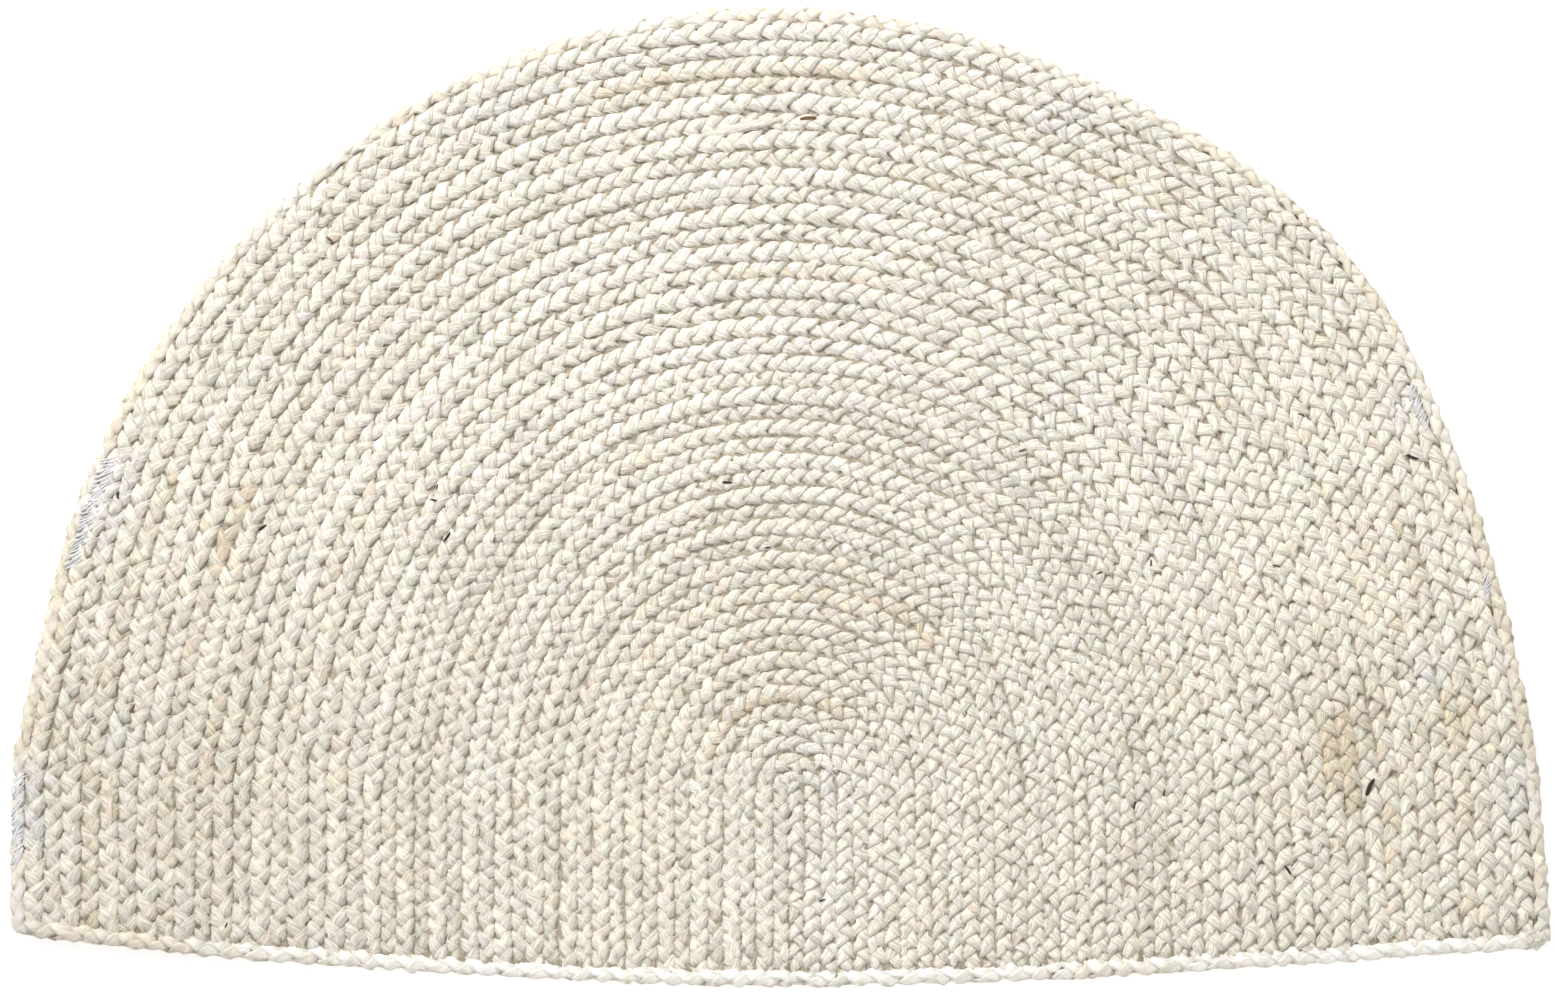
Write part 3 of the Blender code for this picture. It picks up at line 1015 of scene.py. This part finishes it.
# Where it shows, as bearings; inside is how far in from the border's seam, reach how far it goes to each side
Shown = namedtuple("Shown", "first last inside reach")
STITCH_SHOWN = (
    Shown(first=15.0, last=17.0, inside=-0.0010, reach=0.0025),
    Shown(first=29.5, last=33.0, inside=0.0020, reach=0.0030),
    Shown(first=154.0, last=163.0, inside=0.0010, reach=0.0040),
    Shown(first=179.0, last=186.0, inside=-0.0036, reach=0.0028),
)


def make_sewing_thread(surface, material):
    tubes = Tubes(STITCH_SIDES)
    for shown in STITCH_SHOWN:
        line = line_inside(INSET + shown.inside)
        bearing = bearing_along(line)
        off_cut = line.points[:, 1] > cut_edge_y(line.points[:, 0]) + CUT_EDGE_CLEAR
        reached = line.reached[(bearing > shown.first) & (bearing < shown.last) & off_cut]
        for s in np.arange(reached.min(), reached.max(), STITCH.pitch):
            along = np.linspace(-0.5, 0.5, STITCH_POINTS)
            lean = STITCH.lean * (1 + rng.normal(0, STITCH_SPREAD.lean))
            place, ahead, outward = line.at(s + rng.normal(0, STITCH_SPREAD.along) - lean * along)
            reach = shown.reach * (1 + rng.normal(0, STITCH_SPREAD.reach))
            aside = 2 * reach * along + rng.normal(0, STITCH_SPREAD.across)
            path = laid_on(surface, place + outward * aside[:, None] - MIDDLE, STITCH.clear)
            light = rng.normal(0, STITCH_SPREAD.light)
            add_thread(tubes, path, STITCH.width, STITCH.thick, light, blunt=STITCH.blunt)
    piece = tubes.piece("sewing_thread", material)
    return piece


# Strands that left the braid and lie along it, flat and smooth, in the frame of the solids
Laid = namedtuple("Laid", "from_x from_y to_x to_y width thick warm")
LAID_STRANDS = (
    Laid(from_x=-0.0480, from_y=0.2140, to_x=0.0062, to_y=0.2255, width=0.0062, thick=0.0032, warm=-0.2),
    Laid(from_x=-0.3896, from_y=-0.2080, to_x=-0.3886, to_y=-0.1860, width=0.0036, thick=0.0026, warm=1.0),
)
LAID_SUNK = -0.0006
LAID_LIGHT = 0.4
LAID_BLUNT = 0.1
LAID_POINTS = 15
LAID_SIDES = 8
# Short lumps of strand that fray out of the border's ends at the right corner
STUBS = Hairs(count=16, shortest=0.0030, longest=0.0050, width=0.0030, across=1.2, bend=0.5,
              light=(0.5, 0.4), warm=(-0.1, 0.0))
STUB_THICK = 0.0024
STUB_CLEAR = (-0.0004, 0.0001)
STUB_BLUNT = 0.6


def make_laid_strands(surface, material):
    tubes = Tubes(LAID_SIDES)
    for laid in LAID_STRANDS:
        start = np.array([laid.from_x, laid.from_y])
        way = np.array([laid.to_x, laid.to_y]) - start
        path = laid_on(surface, start + way * np.linspace(0, 1, LAID_POINTS)[:, None], LAID_SUNK)
        add_thread(tubes, path, laid.width, laid.thick, LAID_LIGHT, laid.warm, LAID_BLUNT)
    for _ in range(STUBS.count):
        length = rng.uniform(STUBS.shortest, STUBS.longest)
        heading = FRAYED_HEADING + rng.normal(0, STUBS.across)
        path = wavy_path(frayed_start(), heading, length, STUBS.bend, HAIR_POINTS)
        path = laid_on(surface, path, rng.uniform(*STUB_CLEAR))
        add_thread(tubes, path, STUBS.width, STUB_THICK, drawn(*STUBS.light), drawn(*STUBS.warm), STUB_BLUNT)
    piece = tubes.piece("laid_strands", material)
    return piece


# Bits of dark bark and of brown stalk left in the jute, in the frame of the solids; turned is in degrees
Bit = namedtuple("Bit", "x y length turned")
BARK_BITS = [Bit(*row) for row in (
    (-0.3045, -0.0267, 0.0060, 35),
    (-0.3903, -0.0073, 0.0050, 100),
    (0.3465, -0.1817, 0.0110, 62),
    (0.2974, -0.2304, 0.0065, -55),
    (-0.0052, -0.0387, 0.0040, 10),
    (-0.1950, -0.0325, 0.0066, 42),
    (-0.2014, -0.0025, 0.0038, 60),
    (-0.2032, -0.0104, 0.0045, -10),
    (0.1903, -0.0543, 0.0038, 30),
    (0.2209, -0.0483, 0.0042, 85),
    (0.2262, -0.1850, 0.0040, 80),
    (-0.1672, -0.0345, 0.0035, 80),
    (0.3123, 0.0413, 0.0045, -30),
    (0.3770, 0.0158, 0.0080, -38),
    (-0.3196, -0.2624, 0.0035, 60),
    (0.2090, -0.1923, 0.0050, 75),
    (0.0263, -0.2479, 0.0040, 20),
    (-0.0295, 0.0006, 0.0060, -15),
)]
STALK_BITS = [Bit(*row) for row in (
    (0.0188, 0.2253, 0.0100, 8),
    (-0.2680, 0.1491, 0.0060, 120),
    (-0.3780, -0.1350, 0.0060, 60),
    (0.2950, -0.0500, 0.0050, -20),
    (0.1460, 0.0200, 0.0050, 30),
)]
# A bit's width against its length
BIT_SLIM = 0.26
BIT_THICK = 0.0006
BIT_BEND = 0.12
BIT_POINTS = 6
BIT_SIDES = 6
BIT_CLEAR = 0.0002


def make_bits(name, bits, surface, material):
    tubes = Tubes(BIT_SIDES)
    for bit in bits:
        middle = np.array([bit.x, bit.y])
        path = wavy_path(middle, math.radians(bit.turned), bit.length, BIT_BEND, BIT_POINTS)
        path -= path.mean(0) - middle
        add_thread(tubes, laid_on(surface, path, BIT_CLEAR), BIT_SLIM * bit.length, BIT_THICK)
    piece = tubes.piece(name, material)
    return piece


FLOOR_HALF = 12.0
FLOOR_LOW = srgb(246, 246, 246)
FLOOR_HIGH = srgb(250, 250, 250)
FLOOR_GRAIN = 3.0
FLOOR_ROUGHNESS = 0.9
WHITE = (1.0, 1.0, 1.0, 1.0)
# The photo's ground is burnt out to white, which a little light of the floor's own gives
FLOOR_GLOW = 0.36


def make_floor():
    corners = [(x * FLOOR_HALF, y * FLOOR_HALF, 0) for x, y in ((-1, -1), (1, -1), (1, 1), (-1, 1))]
    mesh = bpy.data.meshes.new("floor")
    mesh.from_pydata(corners, [], [(0, 1, 2, 3)])
    net = Net("pale_floor")
    grain = net.noise(scale=FLOOR_GRAIN, detail=2.0)
    net.links.new(net.mix(grain, FLOOR_LOW, FLOOR_HIGH), net.shader.inputs["Base Color"])
    net.shader.inputs["Roughness"].default_value = FLOOR_ROUGHNESS
    net.shader.inputs["Emission Color"].default_value = WHITE
    net.shader.inputs["Emission Strength"].default_value = FLOOR_GLOW
    mesh.materials.append(net.material)
    floor = bpy.data.objects.new("floor", mesh)
    bpy.context.scene.collection.objects.link(floor)


CAMERA_ELEVATION = math.radians(78)
CAMERA_DISTANCE = 2.6
CAMERA_AIM = Vector((0.0004, -0.0063, 0.0))
CAMERA_LENS = 101.26
SENSOR_WIDTH = 36.0


def make_camera():
    data = bpy.data.cameras.new("camera")
    data.sensor_fit = "HORIZONTAL"
    data.sensor_width = SENSOR_WIDTH
    data.lens = CAMERA_LENS
    back = Vector((0.0, -math.cos(CAMERA_ELEVATION), math.sin(CAMERA_ELEVATION)))
    camera = bpy.data.objects.new("camera", data)
    camera.location = CAMERA_AIM + back * CAMERA_DISTANCE
    camera.rotation_euler = (-back).to_track_quat("-Z", "Y").to_euler()
    bpy.context.scene.collection.objects.link(camera)
    bpy.context.scene.camera = camera


# Round lamps that face the rug's middle; size is across them and power in watts
Lamp = namedtuple("Lamp", "name place size power colour")
LAMPS = (
    Lamp("key", place=(-1.5, 2.3, 2.4), size=0.6, power=103.0, colour=(1.0, 0.99, 0.97)),
    Lamp("fill", place=(1.2, -1.8, 2.8), size=2.5, power=10.0, colour=(0.97, 0.98, 1.0)),
)
SKY_STRENGTH = 0.64


def make_light():
    for lamp in LAMPS:
        data = bpy.data.lights.new(lamp.name, "AREA")
        data.shape = "DISK"
        data.size = lamp.size
        data.energy = lamp.power
        data.color = lamp.colour
        light = bpy.data.objects.new(lamp.name, data)
        light.location = lamp.place
        light.rotation_euler = (-Vector(lamp.place)).to_track_quat("-Z", "Y").to_euler()
        bpy.context.scene.collection.objects.link(light)
    world = bpy.data.worlds.new("studio")
    world.use_nodes = True
    sky = world.node_tree.nodes["Background"]
    sky.inputs["Color"].default_value = WHITE
    sky.inputs["Strength"].default_value = SKY_STRENGTH
    bpy.context.scene.world = world
    bpy.context.scene.view_settings.view_transform = "Standard"


jute = jute_material("jute")
field = make_field(jute)
border = make_border(jute_material("bleached_jute"))
ground = make_ground(jute_material("inner_jute_painted_shade"))
surface = surface_of([*field, border])
extras = [
    make_hairs(surface, jute_material("white_fibre")),
    make_sewing_thread(surface, jute_material("grey_thread")),
    make_laid_strands(surface, jute),
    make_bits("bark_bits", BARK_BITS, surface, jute_material("bark")),
    make_bits("stalk_bits", STALK_BITS, surface, jute_material("stalk")),
]
make_floor()
make_light()
make_camera()
